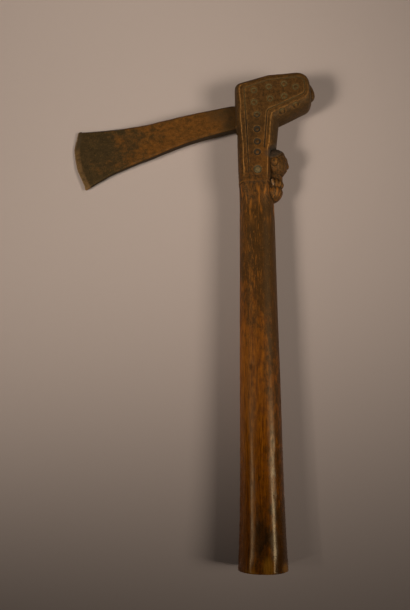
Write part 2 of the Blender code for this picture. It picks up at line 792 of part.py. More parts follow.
def weigh(things):
    """All corners of the finished pieces, and the point where the whole axe balances."""
    graph = bpy.context.evaluated_depsgraph_get()
    corners = []
    total = 0.0
    moment = Vector((0, 0, 0))
    for thing, density in things:
        evaluated = thing.evaluated_get(graph)
        mesh = evaluated.to_mesh()
        mesh.calc_loop_triangles()
        points = [vertex.co.copy() for vertex in mesh.vertices]
        for triangle in mesh.loop_triangles:
            a, b, c = (points[index] for index in triangle.vertices)
            weight = density * a.dot(b.cross(c)) / 6
            total += weight
            moment += weight * (a + b + c) / 4
        corners += points
        evaluated.to_mesh_clear()
    return corners, moment / total


def ground_normal(corners, balance):
    """Which way the ground faces: the hull's face that the axe's weight falls within."""
    builder = bmesh.new()
    for corner in corners:
        builder.verts.new(corner)
    hull = bmesh.ops.convex_hull(builder, input=builder.verts, use_existing_faces=False)
    best = None
    for face in hull["geom"]:
        if not isinstance(face, bmesh.types.BMFace):
            continue
        normal = face.normal.copy()
        places = [vertex.co.copy() for vertex in face.verts]
        if normal.dot(places[0] - balance) < 0:
            normal.negate()
            places.reverse()
        inside = all(
            (after - before).cross(balance - before).dot(normal) >= -1e-9
            for before, after in zip(places, places[1:] + places[:1])
        )
        if inside and (best is None or normal.z < best.z):
            best = normal
    builder.free()
    return best


def lay_down(things):
    """Turns the axe so that it lies on the ground, its handle along Y, and centres it there."""
    corners, balance = weigh(things)
    tilt = ground_normal(corners, balance).rotation_difference(Vector((0, 0, -1))).to_matrix()
    handle = tilt @ Vector((0, 1, 0))
    turn = Matrix.Rotation(math.atan2(handle.x, handle.y), 3, "Z") @ tilt
    laid = [turn @ corner for corner in corners]
    low = Vector([min(point[axis] for point in laid) for axis in range(3)])
    high = Vector([max(point[axis] for point in laid) for axis in range(3)])
    pose = bpy.data.objects.new("lying_pose", None)
    bpy.context.scene.collection.objects.link(pose)
    pose.rotation_euler = turn.to_euler()
    pose.location = (-(low.x + high.x) / 2, -(low.y + high.y) / 2, -low.z)
    for thing, _ in things:
        thing.parent = pose


def build():
    clear_scene()
    wood = surface("carved_wood", (0.16, 0.075, 0.030), 0.38, 0.0)
    iron = surface("forged_iron", (0.085, 0.068, 0.052), 0.62, 0.55)

    handle = grip_body()
    collar = (COLLAR_REACH, COLLAR_RISE, COLLAR_HALF_HEIGHT, COLLAR_HALF_WIDTH, 0.10, 0.0)
    base = (BASE_REACH, BASE_RISE, BASE_HALF_HEIGHT, BASE_HALF_WIDTH, 0.0, BASE_TAPER)
    added = (
        head_body(),
        crest_body(),
        bust_neck(),
        bust_head(),
        lobe("bust_collar", *collar),
        lobe("bust_base", *base),
    )
    for tool in added:
        combine(handle, tool, "UNION")
    for tool in (border_cutter(), line_cutter(), pit_cutter(), socket_cutter()):
        combine(handle, tool, "DIFFERENCE")
    combine(handle, stud_bodies(), "UNION")
    handle.data.materials.append(wood)
    shade(handle)

    blade = blade_body()
    blade.data.materials.append(iron)
    shade(blade)

    lay_down([(handle, WOOD_DENSITY), (blade, IRON_DENSITY)])


build()
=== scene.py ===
"""Looks of the carved handle axe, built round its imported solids.

The wooden handle and the iron blade are each meshed finely from their solids, carved and worn
further, and given procedural materials. The fine carving is worked out in the axe's own frame, in
millimetres: X from the cutting edge to the beak, Y up the handle from the butt, Z across the blade.
Everything else is in metres, in the frame's own axes.
"""

import itertools
import json
import math

import bmesh
import bpy
import numpy as np
from mathutils import Matrix, Vector
from mathutils.kdtree import KDTree


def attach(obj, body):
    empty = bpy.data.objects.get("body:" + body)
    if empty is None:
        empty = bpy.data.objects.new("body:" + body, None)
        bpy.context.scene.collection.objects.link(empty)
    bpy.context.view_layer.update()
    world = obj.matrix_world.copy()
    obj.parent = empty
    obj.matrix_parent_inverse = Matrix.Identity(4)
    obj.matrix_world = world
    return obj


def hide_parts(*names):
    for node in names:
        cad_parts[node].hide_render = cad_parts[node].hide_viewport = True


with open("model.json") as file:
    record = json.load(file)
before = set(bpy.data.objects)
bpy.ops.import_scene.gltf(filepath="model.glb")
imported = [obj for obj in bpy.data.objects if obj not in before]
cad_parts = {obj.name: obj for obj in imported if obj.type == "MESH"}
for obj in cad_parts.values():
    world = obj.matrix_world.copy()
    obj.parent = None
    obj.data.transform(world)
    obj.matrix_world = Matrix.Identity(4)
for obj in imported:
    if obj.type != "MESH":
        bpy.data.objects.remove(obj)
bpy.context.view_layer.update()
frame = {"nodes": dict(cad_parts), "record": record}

# The axe's own frame, in millimetres
BUTT_SHIFT = 0.9  # the middle of the butt lies this far behind the axis
NECK_LOW = 299.5  # lower end of the carved panels
PANEL_LEVEL = 14.0  # the panels lie this far from the middle of the axe
GRIP_TOP = 281.0  # the plain round grip ends here
GRIP_RADIUS = 15.0  # roughly; its noise and its knot are laid out round this
FLANK_RADIUS = 11.5  # roughly, of the neck's rounded back and front
UNDER_BEAK = NECK_LOW + 59.4
BLADE_ROOT = -17.5  # the blade shows in front of this
LOW_BEVEL = NECK_LOW + 36.5  # below this level the blade's bevel is rusty
PATINA_REACH = 135.0  # the iron's colour changes over this length from the cutting edge

# Features of the handle, in millimetres
STUD = (1.2, NECK_LOW + 9.8)  # middle of the round stud low on each panel
STUD_RADIUS = 3.6
KNOT = (math.radians(110), 152.0)  # where a small knot sits, round the grip and up it
KNOT_RADIUS = 1.3
KNOT_DEPTH = 0.35
BUTT_FACET = math.radians(60)  # how far round the butt each of the knife's cuts goes
CHIP_DEPTH = 0.45
GROOVE_SPACING = 1.75  # of the fine grooves on the neck's rounded sides
GROOVE_DEPTH = 0.20

# Stains on the handle: how strong, where, and how far they reach along each axis
OCHRE_STAINS = (
    (1.0, (4.9, 4.5, 16.0), (3.8, 6.4, 8.0)),
    (0.8, (-8.5, 1.0, 14.0), (4.0, 2.4, 8.0)),
    (0.8, (17.0, 2.5, 5.0), (3.0, 4.0, 6.0)),
    (1.0, (9.0, 3.0, -12.0), (6.0, 7.0, 6.0)),
)
DARK_STAINS = (
    (1.0, (0.5, 26.0, 16.0), (5.0, 14.0, 9.0)),
    (1.0, (-8.0, 70.0, -12.0), (9.0, 26.0, 9.0)),
    (0.75, (-6.6, 150.5, 12.5), (1.3, 2.2, 2.5)),
)
WARM_STAINS = ((1.0, (6.5, NECK_LOW + 24, 14.0), (5.5, 17.0, 5.0)),)

# The bust's head, in millimetres
BUST_MIDDLE = np.array([14.5, NECK_LOW + 18.2, 0.0])
BUST_RADII = np.array([11.4, 12.5, 12.2])

# Features of the face: rise in millimetres, longitude and latitude in degrees, and size in degrees
FACE_FEATURES = (
    (0.30, (22, 5), (10, 5.5)),  # lids
    (-0.55, (22, 4.6), (8, 1.5)),  # slit between them
    (0.25, (18, 18), (15, 2.2)),  # brow
    (0.30, (5.5, -12), (3, 3)),  # side of the nose
    (-0.60, (0, -31), (11, 1.5)),  # mouth
    (0.22, (0, -27.5), (9, 2)),  # upper lip
    (0.22, (0, -35), (8, 2)),  # lower lip
)
EAR = (88, -3)  # longitude and latitude of its middle
BEARD_TURNS = (38, 45, 52, 59, 66)  # longitudes of the cut lines on the cheeks
CAP_GROOVES = ((0.35, -2.5, 2.2), (0.25, 17.5, 1.8))  # depth, degrees above the hairline, width

# The strap beside the bust and the hollow behind it, in millimetres
STRAP_START = np.array([11.8, 302.5, 10.4])
STRAP_END = np.array([15.6, 292.8, 9.6])
STRAP_HOLLOW = np.array([12.2, 296.6, 10.2])
STRAP_HOLLOW_RADII = np.array([1.0, 2.6, 2.4])

# Fineness of the meshes, with lengths in millimetres
WOOD_VOXEL = 0.33
IRON_VOXEL = 0.33
MERGE_DISTANCE = 0.0005
SECTION_BLUR = 5.0  # the grip's outline is the mean of those this far below and above
GRIP_SQUEEZE = 0.20  # the grip is meshed coarser than the head: this much along
GRIP_PINCH = 0.50  # and this much round
PINCH_REACH = 30  # the coarser mesh sets in over this height
SPLIT_STEP = 1.5  # long facets are split this finely there
MOST_FACES = 188000
RELAX_STEPS = (0.55, -0.57)  # a step in, and one out that makes up for what it shrinks

# Noise: how many values it draws from, a power of two, and the factors that pick one for a cell
NOISE_TABLE = 4096
NOISE_PRIMES = np.array([73856093, 19349663, 83492791])

# Camera: a lens of 700 px in the photograph's 610 px height, looking nearly straight down
FRAME_HEIGHT = 610.0
LENS_PIXELS = 700.0
CAMERA_TILT = math.radians(10.0)
CAMERA_HEIGHT = 0.5644
CAMERA_FROM_BUTT = (-0.0424, 0.1041)
SENSOR = 24.0

# Softboxes: name, place, the point each faces, size, spread in degrees, and watts
SOFTBOXES = (
    ("right", (0.85, -0.17, 0.80), (-0.11, 0.197, 0.0), (0.42, 0.42), 50, 0.75),
    ("left", (-0.80, -0.15, 0.80), (-0.07, 0.262, 0.0), (0.45, 0.65), 23.2, 0.60),
    ("strip", (-0.80, -0.17, 0.80), (0.05, -0.10, 0.0), (0.04, 0.28), 24, 0.013),
)
LIGHT_COLOUR = (1.0, 0.97, 0.93)

# The room and its floor
ROOM_COLOUR = (1.0, 0.96, 0.92)
ROOM_STRENGTH = 0.003
FLOOR_COLOUR = (0.50, 0.39, 0.324)
FLOOR_HALF = 3.0

# Surfaces
GLOSS_TINT = (1.0, 0.74, 0.40)  # the patina warms what it reflects
BUMP_STRENGTH = 0.8
WOOD_RELIEF = 0.00014  # metres
IRON_RELIEF = 0.00018


def axe_frame():
    """The axe's axes as rows, and its origin at the butt, from the record's mounts."""
    mounts = {mount["name"]: mount for mount in frame["record"]["mounts"]}
    along = -np.array(mounts["butt_end"]["axis"])
    face = -np.array(mounts["back_panel"]["axis"])
    side = np.cross(along, face)
    side /= np.linalg.norm(side)
    face = np.cross(side, along)
    origin = np.array(mounts["butt_end"]["pos_m"]) - side * BUTT_SHIFT / 1000
    return np.array([side, along, face]), origin


AXES, ORIGIN = axe_frame()


def to_axe(points):
    return (points - ORIGIN) @ AXES.T * 1000


def to_row(points):
    return points / 1000 @ AXES + ORIGIN


def smoothstep(value):
    value = np.clip(value, 0.0, 1.0)
    return value * value * (3 - 2 * value)


def bell(value, width=1.0):
    """1 where the value is 0, easing to 0 over about a width on both sides."""
    return np.exp(-((value / width) ** 2))


def noise(points, size, seed):
    """Smooth values from -1 to 1 that change over about size, the same on every run."""
    grid = points / size
    cell = np.floor(grid).astype(np.int64)
    part = grid - cell
    part = part * part * (3 - 2 * part)
    table = np.random.default_rng(seed).uniform(-1, 1, NOISE_TABLE)
    total = np.zeros(len(points))
    for corner in itertools.product((0, 1), repeat=3):
        key = (cell + np.array(corner)) @ NOISE_PRIMES
        weight = np.where(corner, part, 1 - part).prod(axis=1)
        total += table[(key ^ (key >> 13)) & (NOISE_TABLE - 1)] * weight
    return total


class Skin:
    """A fine closed mesh as arrays, in the axe's frame in millimetres."""

    def __init__(self, mesh):
        self.mesh = mesh
        self.points = coordinates(mesh)
        ends = np.zeros(len(mesh.edges) * 2, np.int64)
        mesh.edges.foreach_get("vertices", ends)
        self.ends = ends.reshape(-1, 2)
        self.degree = np.bincount(self.ends.ravel(), minlength=len(self.points))
        mesh.calc_loop_triangles()
        triangles = np.zeros(len(mesh.loop_triangles) * 3, np.int64)
        mesh.loop_triangles.foreach_get("vertices", triangles)
        self.triangles = triangles.reshape(-1, 3)

    def around(self, values):
        """The mean of each point's neighbours."""
        flat = values.reshape(len(values), -1)
        count = len(values)
        first, second = self.ends.T
        total = np.empty_like(flat)
        for k in range(flat.shape[1]):
            column = flat[:, k]
            total[:, k] = np.bincount(first, column[second], count)
            total[:, k] += np.bincount(second, column[first], count)
        return (total / self.degree[:, None]).reshape(values.shape)

    def blurred(self, values, times):
        for _ in range(times):
            values = 0.5 * values + 0.5 * self.around(values)
        return values

    def relax(self, times, weight):
        """Smooths the surface without shrinking it, as much as weight says at each point."""
        for step in RELAX_STEPS * times:
            moved = self.around(self.points) - self.points
            self.points = self.points + step * weight[:, None] * moved

    def normals(self):
        a, b, c = (self.points[self.triangles[:, k]] for k in range(3))
        across = np.cross(b - a, c - a)
        total = np.zeros_like(self.points)
        for corner in range(3):
            for k in range(3):
                total[:, k] += np.bincount(
                    self.triangles[:, corner], across[:, k], len(self.points)
                )
        return total / np.maximum(np.linalg.norm(total, axis=1), 1e-9)[:, None]

    def raise_by(self, height):
        self.points = self.points + self.normals() * height[:, None]

    def swell(self, times):
        """How far each point stands out from the surface around it, in millimetres."""
        return ((self.points - self.blurred(self.points, times)) * self.normals()).sum(1)


def coordinates(mesh):
    flat = np.zeros(len(mesh.vertices) * 3)
    mesh.vertices.foreach_get("co", flat)
    return flat.reshape(-1, 3)


def move_vertices(mesh, points):
    mesh.vertices.foreach_set("co", points.astype(np.float32).ravel())


def pinch(y):
    """How much the grip is drawn in across at a height, so that it takes fewer faces."""
    return 1 - (1 - GRIP_PINCH) * smoothstep((GRIP_TOP - y) / PINCH_REACH)


def squeezed(points):
    x, y, z = points.T
    low = np.where(y < GRIP_TOP, GRIP_TOP + (y - GRIP_TOP) * GRIP_SQUEEZE, y)
    return np.stack([x * pinch(y), low, z * pinch(y)], axis=1)


def unsqueezed(points):
    x, low, z = points.T
    y = np.where(low < GRIP_TOP, GRIP_TOP + (low - GRIP_TOP) / GRIP_SQUEEZE, low)
    return np.stack([x / pinch(y), y, z / pinch(y)], axis=1)


def solid_points(node):
    return to_axe(coordinates(frame["nodes"][node].data))


def squeeze_solid(builder):
    """Squeezes the solid's grip, with its long facets split where the squeeze isn't even."""
    for height in np.arange(GRIP_TOP - PINCH_REACH - 2, GRIP_TOP + 1, SPLIT_STEP):
        whole = builder.verts[:] + builder.edges[:] + builder.faces[:]
        bmesh.ops.bisect_plane(builder, geom=whole, plane_co=(0, height, 0), plane_no=(0, 1, 0))
    for vertex in builder.verts:
        vertex.co = squeezed(np.array([vertex.co]))[0]


def fine_mesh(node, voxel, squeeze):
    """The node's solid in small even faces, in the axe's frame in millimetres."""
    mesh = frame["nodes"][node].data.copy()
    move_vertices(mesh, solid_points(node))
    builder = bmesh.new()
    builder.from_mesh(mesh)
    bmesh.ops.remove_doubles(builder, verts=builder.verts, dist=MERGE_DISTANCE)
    if squeeze:
        squeeze_solid(builder)
    plain = bpy.data.meshes.new(node + "_solid")
    builder.to_mesh(plain)
    builder.free()
    thing = bpy.data.objects.new(node + "_solid", plain)
    bpy.context.scene.collection.objects.link(thing)
    remesh = thing.modifiers.new("remesh", "REMESH")
    remesh.mode = "VOXEL"
    remesh.voxel_size = voxel
    graph = bpy.context.evaluated_depsgraph_get()
    fine = bpy.data.meshes.new_from_object(thing.evaluated_get(graph))
    bpy.data.objects.remove(thing)
    bpy.data.meshes.remove(plain)
    bpy.data.meshes.remove(mesh)
    points = coordinates(fine)
    move_vertices(fine, unsqueezed(points) if squeeze else points)
    return fine


def thinned(skin):
    """The skin's mesh with fewer faces where it is plain, and each new point's old one."""
    move_vertices(skin.mesh, skin.points)
    count = len(skin.triangles)
    if count <= MOST_FACES:
        return skin.mesh, np.arange(len(skin.points))
    thing = bpy.data.objects.new("thinned", skin.mesh)
    bpy.context.scene.collection.objects.link(thing)
    decimate = thing.modifiers.new("decimate", "DECIMATE")
    decimate.ratio = MOST_FACES / count
    graph = bpy.context.evaluated_depsgraph_get()
    mesh = bpy.data.meshes.new_from_object(thing.evaluated_get(graph))
    bpy.data.objects.remove(thing)
    tree = KDTree(len(skin.points))
    for k, point in enumerate(skin.points):
        tree.insert(point, k)
    tree.balance()
    return mesh, np.array([tree.find(point)[1] for point in coordinates(mesh)])


def piece_from(skin, name, masks, material):
    """The finished piece in the frame, with its masks for the material to read."""
    mesh, source = thinned(skin)
    points = coordinates(mesh)
    move_vertices(mesh, to_row(points))
    place = mesh.attributes.new("axe_mm", "FLOAT_VECTOR", "POINT")
    place.data.foreach_set("vector", points.astype(np.float32).ravel())
    for mask, values in masks.items():
        layer = mesh.attributes.new(mask, "FLOAT", "POINT")
        layer.data.foreach_set("value", np.clip(values, 0, 1)[source].astype(np.float32))
    mesh.materials.clear()
    mesh.materials.append(material)
    mesh.shade_smooth()
    mesh.update()
    piece = bpy.data.objects.new(name, mesh)
    bpy.context.scene.collection.objects.link(piece)
    return piece


# The handle's shape


def grip_sections():
    """Heights of the solid's own sections up the grip, and each one's outline as waves.

    A section is a ring of many points at one height that goes nearly all the way round.
    """
    points = solid_points("handle")
    points = points[points[:, 1] < GRIP_TOP + 2]
    heights, outlines = [], []
    for height in np.unique(np.round(points[:, 1], 1)):
        ring = points[np.abs(points[:, 1] - height) < 0.06]
        angle = np.arctan2(ring[:, 2], ring[:, 0])
        whole = np.ptp(angle) >= 5 and len(ring) >= 20
        if height < 0.5 or not whole:
            continue
        radius = np.hypot(ring[:, 0], ring[:, 2])
        outlines.append(np.linalg.lstsq(waves(angle), radius, rcond=None)[0])
        heights.append(height)
    return np.array(heights), np.array(outlines)


def waves(angle):
    columns = [np.ones_like(angle)]
    for k in range(1, 7):
        columns += [np.cos(k * angle), np.sin(k * angle)]
    return np.stack(columns, axis=1)


def round_the_grip(skin):
    """Moves the grip from the solid's facets on to smooth sections, with the knife's traces."""
    heights, outlines = grip_sections()
    x, y, z = skin.points.T
    angle = np.arctan2(z, x)
    shape = np.zeros((len(y), outlines.shape[1]))
    for shift in (-SECTION_BLUR, 0.0, SECTION_BLUR):
        for k in range(outlines.shape[1]):
            shape[:, k] += np.interp(y + shift, heights, outlines[:, k]) / 3
    radius = (waves(angle) * shape).sum(axis=1)
    old = np.hypot(x, z)
    round_side = (np.abs(radius - old) < 0.9) & (y > 0.4)
    weight = round_side * smoothstep((GRIP_TOP - y) / 12)
    radius += grip_marks(angle, y) * smoothstep(y / 3)
    scale = 1 + weight * (radius / np.maximum(old, 1e-6) - 1)
    skin.points = np.stack([x * scale, y, z * scale], axis=1)


def on_round(angle, y, share):
    """Points round the grip for its noise, with its height shortened to a share."""
    return np.stack([np.cos(angle) * GRIP_RADIUS, y * share, np.sin(angle) * GRIP_RADIUS], axis=1)


def facet_ridge(angle):
    """0 in the middle of each knife cut round the butt, and 1 on the ridges between them."""
    return np.abs(((angle / BUTT_FACET) % 1) - 0.5) * 2


def grip_marks(angle, y):
    """Long shallow facets left by the knife, knife cuts round the butt, a knot, and small dents."""
    way = on_round(angle, y, 0.16)
    height = 0.16 * noise(way, 6.0, 11) + 0.05 * noise(way, 2.2, 12)
    low = np.clip(1 - y / 15, 0, 1)
    cut = facet_ridge(angle)
    height -= 1.25 * low**1.25 * (1 - cut * cut)
    soft = np.clip(1 - y / 80, 0, 1)
    height -= 0.25 * soft * (1 - cut * cut)
    dents = noise(on_round(angle, y, 0.6), 3.0, 13)
    height -= 0.12 * smoothstep((dents - 0.55) / 0.3)
    knot = np.hypot((angle - KNOT[0]) * GRIP_RADIUS, (y - KNOT[1]) * 0.6)
    height -= KNOT_DEPTH * bell(knot, KNOT_RADIUS)
    return height


def bust_angles(points):
    """Longitude from straight out of the back, latitude, and distance, on the bust's head."""
    local = (points - BUST_MIDDLE) / BUST_RADII
    distance = np.linalg.norm(local, axis=1)
    longitude = np.degrees(np.arctan2(local[:, 2], local[:, 0]))
    latitude = np.degrees(np.arcsin(np.clip(local[:, 1] / np.maximum(distance, 1e-6), -1, 1)))
    return longitude, latitude, distance


def spot(side, latitude, centre, size):
    """1 at a feature of the face, easing to 0 around it, on both sides alike."""
    across = (side - centre[0]) / size[0]
    along = (latitude - centre[1]) / size[1]
    return np.exp(-(across**2) - along**2)


def hairline(side):
    return 38 - 30 * smoothstep((side - 30) / 60)


def ear(side, latitude):
    """A rounded ear and the groove round it."""
    across, along = side - EAR[0], latitude - EAR[1]
    lobe = smoothstep(1.6 - np.hypot(across / 15, along / 19) * 1.4)
    return 0.45 * lobe - 0.45 * bell(np.hypot(across / 17, along / 21) - 1, 0.11)


def beard_lines(side, latitude):
    total = np.zeros_like(side)
    reach = smoothstep((28 - np.abs(latitude + 10)) / 5)
    for turn in BEARD_TURNS:
        bent = turn - (turn / 9) * ((latitude + 8) / 26) ** 2
        total += bell(side - bent, 1.6) * reach
    return total


def bust_detail(points):
    """Fine carving of the bust: its face, ears, beard lines, the cap's rim, and its strap."""
    longitude, latitude, distance = bust_angles(points)
    side = np.abs(longitude)
    on_head = smoothstep((distance - 0.80) / 0.08) * smoothstep((1.34 - distance) / 0.08)
    on_head *= smoothstep((points[:, 0] - 11.6) / 1.2)
    height = np.zeros(len(points))
    for rise, centre, size in FACE_FEATURES:
        height += rise * spot(side, latitude, centre, size)
    height += ear(side, latitude) - 0.34 * beard_lines(side, latitude)
    above = latitude - hairline(side)
    cap = smoothstep(above / 3 + 0.5)
    notches = (0.5 + 0.5 * np.cos(np.radians(longitude) * 48)) ** 2
    band = smoothstep((7 - np.abs(above - 9)) / 2)
    over = smoothstep((82 - latitude) / 10)
    height = height * (1 - cap) - 0.22 * cap * band * notches * over
    for depth, middle, width in CAP_GROOVES:
        height -= depth * bell(above - middle, width)
    return height * on_head + strap(points)


def strap(points):
    """A ridge on both sides of the bust, from under the ear down to the base, over a hollow."""
    away = np.linalg.norm((mirrored(points) - STRAP_HOLLOW) / STRAP_HOLLOW_RADII, axis=1)
    return 0.85 * on_strap(points, 0.95) - 0.9 * bell(away)


def on_strap(points, width):
    """1 along the middle of the strap, easing to 0 over a width beside it."""
    line = STRAP_END - STRAP_START
    local = mirrored(points) - STRAP_START
    share = np.clip(local @ line / (line**2).sum(), 0, 1)
    return bell(np.linalg.norm(local - share[:, None] * line, axis=1), width)


def mirrored(points):
    """The points with the back half folded on to the front, for what both sides carry."""
    return np.stack([points[:, 0], points[:, 1], np.abs(points[:, 2])], axis=1)


def flank_lines(points):
    """Fine lengthwise grooves on the rounded back and front of the neck."""
    x, y, z = points.T
    arc = np.arcsin(np.clip(z / PANEL_LEVEL, -1, 1)) * FLANK_RADIUS
    wander = noise(points * [0.3, 0.08, 0.3], 2.0, 21) * 0.5
    lines = (0.5 + 0.5 * np.cos(2 * math.pi * (arc + wander) / GROOVE_SPACING)) ** 3
    back = (x > 10.5) * smoothstep((y - NECK_LOW - 32) / 2) * smoothstep((UNDER_BEAK - 2 - y) / 2)
    front = (x < -11.5) * smoothstep((y - NECK_LOW - 1) / 2) * smoothstep((NECK_LOW + 80 - y) / 6)
    inside = smoothstep((12.8 - np.abs(z)) / 1.0)
    return -GROOVE_DEPTH * lines * (back + 0.55 * front) * inside


def carve_handle():
    """The handle's whole surface, and the masks over it."""
    skin = Skin(fine_mesh("handle", WOOD_VOXEL, True))
    round_the_grip(skin)
    y, z = skin.points[:, 1], skin.points[:, 2]
    on_head = smoothstep((y - GRIP_TOP) / 8)
    on_panel = smoothstep((np.abs(z) - 12.9) / 0.5) * on_head
    near_bust = smoothstep((1.3 - bust_angles(skin.points)[2]) / 0.2)
    skin.relax(2, on_head * 0.6)
    skin.relax(14, on_head * (1 - on_panel) * (1 - 0.8 * near_bust))
    worn = skin.swell(6)
    rough = noise(skin.points, 2.6, 31) + 0.5 * noise(skin.points, 1.1, 32)
    chips = smoothstep((rough - 0.35) / 0.5) * smoothstep((worn - 0.04) / 0.12)
    height = -CHIP_DEPTH * chips * on_head
    height += on_head * 0.10 * noise(skin.points * [1, 0.45, 1], 5.0, 33)
    height += on_head * 0.035 * noise(skin.points * [1, 0.35, 1], 1.5, 34)
    height += flank_lines(skin.points)
    height += bust_detail(skin.points)
    skin.raise_by(height)
    return skin, handle_masks(skin)


def stained(points, stains):
    """The strongest of some stains at each point, from 0 to 1."""
    layers = []
    for strength, centre, reach in stains:
        away = np.linalg.norm((points - np.array(centre)) / np.array(reach), axis=1)
        layers.append(strength * smoothstep(1.5 - away))
    return np.max(layers, axis=0)


def handle_wear(points, fine, broad, on_panel, near_bust):
    """Wear on the head's edges, less on the panels, on the bust and below it."""
    x, y, _ = points.T
    patchy = 0.5 + 0.5 * noise(points * [1, 0.3, 1], 4.0, 41)
    wear = smoothstep((fine - 0.02) / 0.08) * (1 - 0.88 * on_panel) * (1 - 0.5 * near_bust)
    wear += 0.8 * smoothstep((broad - 0.07) / 0.35) * (1 - 0.6 * on_panel)
    wear *= 1 - 0.5 * smoothstep((x - 12.5) / 1.5) * smoothstep((NECK_LOW + 8 - y) / 3)
    return wear * (0.35 + 0.9 * patchy)


def panel_edges(skin, upright, hollow, on_panel):
    """Lines along the panels' worn edges, fainter on the head's top and near the pits."""
    x, y, z = skin.points.T
    level = (np.abs(z) > PANEL_LEVEL - 0.22) & (upright > 0.8) & (y > NECK_LOW)
    edge = bell(skin.blurred(level.astype(float), 26) - 0.55, 0.16)
    beside_flank = skin.blurred(smoothstep((0.6 - upright) / 0.3), 30)
    outer = smoothstep((beside_flank - 0.16) / 0.12)
    near_pit = smoothstep(skin.blurred(hollow * on_panel, 20) * 3)
    edge *= np.maximum(outer, 0.70 * (1 - near_pit)) * smoothstep((y - NECK_LOW - 3) / 3)
    low_half = smoothstep((UNDER_BEAK + 14 - y) / 10) * (np.abs(x) < 14)
    edge *= 0.55 + 0.45 * np.maximum(low_half, smoothstep((-x - 4) / 4))
    return edge * (1 - 0.80 * smoothstep((y - NECK_LOW - 79) / 5) * smoothstep((x + 10) / 4))


def butt_ridge_wear_and_highlight(points):
    """Pale lines along the ridges between the knife's cuts round the butt, worn and partly a
    painted highlight.
    """
    x, y, z = points.T
    ridge = facet_ridge(np.arctan2(z, x))
    return 0.5 * smoothstep((ridge - 0.90) / 0.08) * smoothstep((14 - y) / 4)


def handle_masks(skin):
    """Masks from 0 to 1 over the handle.

    wear and edge are rubbed edges, with edge on the butt's ridges partly a painted highlight. dirt
    and pit are hollows, the neck's rounded sides have a mask for painted shade, head is all above
    the grip, and side says how far the grip faces the beak's side. stud, strap and cap are those
    parts, with a painted glint on the stud and a painted highlight along the strap, and warm, ochre
    and dark are local stains.
    """
    points = skin.points
    x, y, z = points.T
    on_head = smoothstep((y - GRIP_TOP + 4) / 10)
    on_panel = smoothstep((np.abs(z) - 12.4) / 0.5) * on_head
    longitude, latitude, distance = bust_angles(points)
    near_bust = smoothstep((1.5 - distance) / 0.3)
    fine, broad, wide = skin.swell(6), skin.swell(28), skin.swell(110)
    hollow = smoothstep((-wide - 0.03) / 0.10)
    normals = skin.normals()
    upright = np.abs(normals[:, 2])

    wear = handle_wear(points, fine, broad, on_panel, near_bust)
    dirt = smoothstep((-fine - 0.01) / 0.05) + smoothstep((-broad - 0.04) / 0.16)
    dirt += 0.8 * smoothstep((-wide - 0.12) / 0.35) * on_head
    sunk = smoothstep((PANEL_LEVEL - 0.20 - np.abs(z)) / 0.5)
    flat_zone = smoothstep((2.2 - np.abs(np.abs(z) - PANEL_LEVEL)) / 0.6)
    from_stud = np.hypot(x - STUD[0], y - STUD[1])
    edge = panel_edges(skin, upright, hollow, on_panel)
    return {
        "wear": skin.blurred(wear * on_head, 1),
        "dirt": skin.blurred(dirt * on_head, 1),
        "side": 0.5 + 0.5 * normals[:, 0] * (1 - on_head),
        "pit": skin.blurred(sunk * flat_zone * hollow * on_head, 2),
        # the stud, which takes dust and a painted glint
        "stud": smoothstep((STUD_RADIUS - from_stud) / 0.8) * smoothstep((np.abs(z) - 12.5) / 0.5),
        # the strap's line, which takes a painted highlight
        "strap": on_strap(points, 0.7),
        # worn panel edges, and the butt's ridges, partly a painted highlight
        "edge": np.maximum(edge, butt_ridge_wear_and_highlight(points)),
        "cap": smoothstep((latitude - hairline(np.abs(longitude))) / 4) * near_bust,
        # the head's rounded sides, which take painted shade
        "flank_shade": skin.blurred(smoothstep((0.85 - upright) / 0.4), 20) * on_head,
        "head": on_head,
        "warm": stained(points, WARM_STAINS),
        "ochre": stained(points, OCHRE_STAINS),
        "dark": stained(points, DARK_STAINS),
    }


# The blade's shape


def forge_blade():
    """The blade with hammer marks, rust pits and a nicked edge, and the masks over it.

    wear and dirt are as on the handle, edge eases in towards the cutting edge, the narrow sides
    carry painted shade, reach is the distance from the cutting edge, and low the rusty lower part
    of the bevel.
    """
    skin = Skin(fine_mesh("blade", IRON_VOXEL, False))
    inside = smoothstep((np.abs(skin.points[:, 2]) - 0.9) / 0.6)
    skin.relax(10, 0.35 + 0.65 * inside)
    x, y, z = skin.points.T
    shown = smoothstep((BLADE_ROOT - x) / 3)
    hammer = noise(skin.points * [1, 1, 0.2], 9.0, 51) + 0.5 * noise(skin.points, 4.0, 52)
    pits = smoothstep((noise(skin.points, 1.5, 53) - 0.25) / 0.5)
    patches = smoothstep((noise(skin.points, 11.0, 54) + 0.35) / 0.8)
    height = 0.13 * hammer * shown - 0.07 * pits * patches * shown
    height -= 0.03 * smoothstep(noise(skin.points, 0.8, 55)) * shown
    height *= smoothstep((np.abs(z) + 0.2) / 1.2)
    skin.raise_by(height)
    along = np.stack([y * 0, y, y * 0], axis=1)
    nick = 0.08 * noise(along, 5.0, 56)
    nick += 0.18 * smoothstep((noise(along, 2.1, 57) - 0.55) / 0.3)
    skin.points[:, 0] += edge_share(skin.points, 3.0) * np.maximum(nick, 0)
    fine, broad = skin.swell(4), skin.swell(16)
    return skin, {
        "wear": smoothstep((fine - 0.01) / 0.06) + smoothstep((broad - 0.05) / 0.2),
        "dirt": smoothstep((-fine - 0.005) / 0.05) + smoothstep((-broad - 0.02) / 0.1),
        "edge": skin.blurred(edge_share(skin.points, 6.3), 2),
        # the narrow sides, which take painted shade
        "rim_shade": rim_shade_share(skin),
        "reach": (x - x.min()) / PATINA_REACH,
        "low": smoothstep((LOW_BEVEL - skin.points[:, 1]) / 14 + 0.5),
    }


def rim_shade_share(skin):
    """Painted shade's share: 1 on the blade's narrow sides and just beside them, but not at the
    cutting edge.
    """
    side = np.abs(skin.normals()[:, 2]) < 0.55
    rim_shade = skin.blurred(side.astype(float), 16)
    return smoothstep(rim_shade * 1.8) * (1 - smoothstep(edge_share(skin.points, 9.0) * 4))


